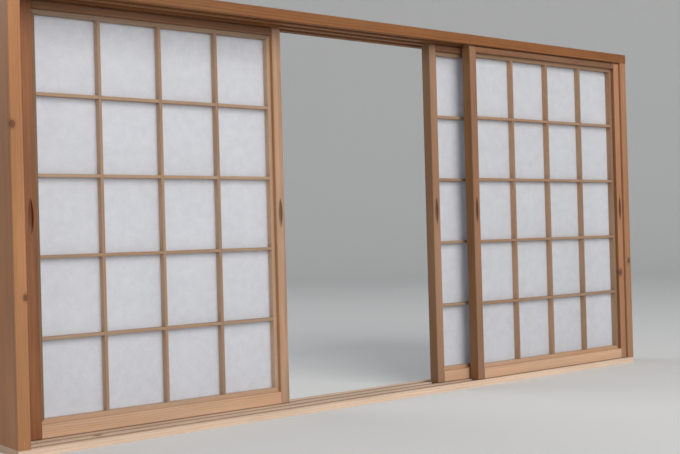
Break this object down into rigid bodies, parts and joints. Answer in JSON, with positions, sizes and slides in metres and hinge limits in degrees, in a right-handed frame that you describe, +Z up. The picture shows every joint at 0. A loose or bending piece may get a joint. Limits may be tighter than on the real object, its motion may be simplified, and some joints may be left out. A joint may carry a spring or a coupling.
{
  "type": "shoji sliding screen",
  "caption": "Low window of sliding shoji panels: wooden lattice backed with paper, each panel running in its own track of one wooden frame.",
  "frame": {"origin": "middle of the sill's underside, in width and in depth", "axes": "+X along the opening, to the right as seen from the lattice side; +Y in towards the paper side; +Z up"},
  "size_m": [2.004, 0.126, 0.972],
  "materials": {
    "frame_wood": "oiled softwood, planed, satin",
    "panel_wood": "reddish softwood, planed, satin",
    "lattice_wood": "fine straight-grained softwood",
    "paper": "matt fibrous paper, a little see-through"
  },
  "bodies": {
    "frame": {"sill": "frame_wood", "head": "frame_wood", "left_jamb": "frame_wood", "right_jamb": "frame_wood"},
    "left_panel": {"left_panel_left_stile": "panel_wood", "left_panel_right_stile": "panel_wood", "left_panel_top_rail": "panel_wood", "left_panel_bottom_rail": "panel_wood", "left_panel_left_edge_strip": "lattice_wood", "left_panel_right_edge_strip": "lattice_wood", "left_panel_bottom_edge_strip": "lattice_wood", "left_panel_top_edge_strip": "lattice_wood", "left_panel_upright_bar_1": "lattice_wood", "left_panel_upright_bar_2": "lattice_wood", "left_panel_upright_bar_3": "lattice_wood", "left_panel_cross_bar_1": "lattice_wood", "left_panel_cross_bar_2": "lattice_wood", "left_panel_cross_bar_3": "lattice_wood", "left_panel_cross_bar_4": "lattice_wood", "left_panel_paper": "paper"},
    "middle_panel": {"middle_panel_left_stile": "panel_wood", "middle_panel_right_stile": "panel_wood", "middle_panel_top_rail": "panel_wood", "middle_panel_bottom_rail": "panel_wood", "middle_panel_left_edge_strip": "lattice_wood", "middle_panel_right_edge_strip": "lattice_wood", "middle_panel_bottom_edge_strip": "lattice_wood", "middle_panel_top_edge_strip": "lattice_wood", "middle_panel_upright_bar_1": "lattice_wood", "middle_panel_upright_bar_2": "lattice_wood", "middle_panel_upright_bar_3": "lattice_wood", "middle_panel_cross_bar_1": "lattice_wood", "middle_panel_cross_bar_2": "lattice_wood", "middle_panel_cross_bar_3": "lattice_wood", "middle_panel_cross_bar_4": "lattice_wood", "middle_panel_paper": "paper"},
    "right_panel": {"right_panel_left_stile": "panel_wood", "right_panel_right_stile": "panel_wood", "right_panel_top_rail": "panel_wood", "right_panel_bottom_rail": "panel_wood", "right_panel_left_edge_strip": "lattice_wood", "right_panel_right_edge_strip": "lattice_wood", "right_panel_bottom_edge_strip": "lattice_wood", "right_panel_top_edge_strip": "lattice_wood", "right_panel_upright_bar_1": "lattice_wood", "right_panel_upright_bar_2": "lattice_wood", "right_panel_upright_bar_3": "lattice_wood", "right_panel_cross_bar_1": "lattice_wood", "right_panel_cross_bar_2": "lattice_wood", "right_panel_cross_bar_3": "lattice_wood", "right_panel_cross_bar_4": "lattice_wood", "right_panel_paper": "paper"}
  },
  "joints": [
    {"name": "left_panel_slide", "type": "slide", "parent": "frame", "child": "left_panel", "axis": [1, 0, 0], "range_m": [-0.0315, 1.253]},
    {"name": "middle_panel_slide", "type": "slide", "parent": "frame", "child": "middle_panel", "axis": [1, 0, 0], "range_m": [-1.166, 0.1185]},
    {"name": "right_panel_slide", "type": "slide", "parent": "frame", "child": "right_panel", "axis": [1, 0, 0], "range_m": [-1.2835, 0.001]}
  ]
}
